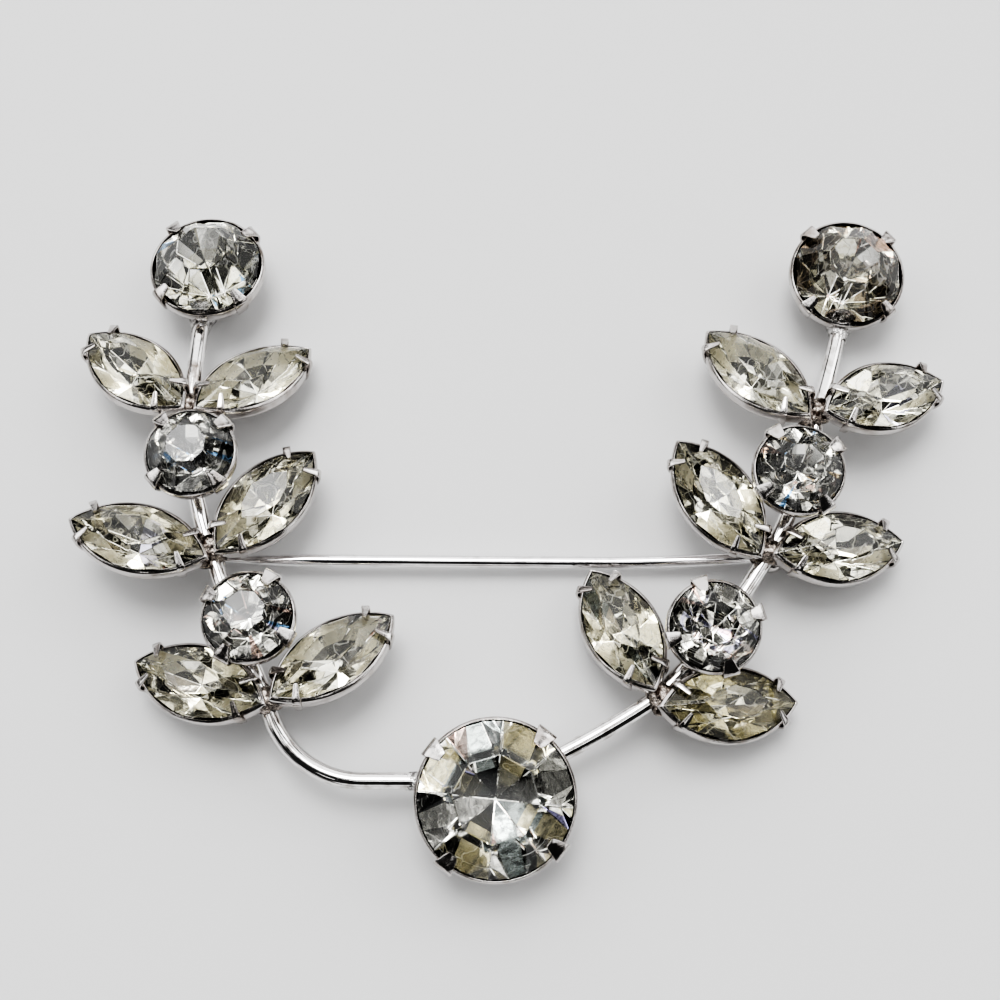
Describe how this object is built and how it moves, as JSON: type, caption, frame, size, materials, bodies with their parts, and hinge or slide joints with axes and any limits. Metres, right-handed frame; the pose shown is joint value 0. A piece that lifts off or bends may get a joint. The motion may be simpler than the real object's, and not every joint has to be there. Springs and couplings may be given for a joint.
{
  "type": "rhinestone brooch",
  "caption": "Open laurel brooch of two bent wire branches with clear navette and round stones in pronged cups, and a hinged pin across the back.",
  "frame": {"origin": "on the surface the brooch rests on, under the middle of its outline", "axes": "+Z out of the face, +Y to the two branch tips, +X to the hinge side, the viewer's right"},
  "size_m": [0.0642, 0.0496, 0.0086],
  "materials": {
    "silver": "worn silver-coloured plating, polished, with fine scratches and dull solder",
    "pin_steel": "drawn and polished wire",
    "clear_glass": "cut and polished, foiled behind",
    "navette_glass": "cut and polished, foiled behind, slightly yellowed"
  },
  "bodies": {
    "brooch": {"frame": "silver", "hinge_rivet": "silver", "large_stone": "clear_glass", "left_tip_stone": "clear_glass", "right_tip_stone": "clear_glass", "left_upper_stone": "clear_glass", "right_upper_stone": "clear_glass", "left_lower_stone": "clear_glass", "right_lower_stone": "clear_glass", "left_leaf_1a": "navette_glass", "left_leaf_1b": "navette_glass", "left_leaf_2a": "navette_glass", "left_leaf_2b": "navette_glass", "left_leaf_3a": "navette_glass", "left_leaf_3b": "navette_glass", "right_leaf_1a": "navette_glass", "right_leaf_1b": "navette_glass", "right_leaf_2a": "navette_glass", "right_leaf_2b": "navette_glass", "right_leaf_3a": "navette_glass", "right_leaf_3b": "navette_glass"},
    "pin": {"pin_stem": "pin_steel"}
  },
  "joints": [
    {"name": "pin_hinge", "type": "hinge", "parent": "brooch", "child": "pin", "pos_m": [0.0187, -0.0016, 0.00195], "axis": [0, -1, 0], "range_deg": [0, 100]}
  ]
}
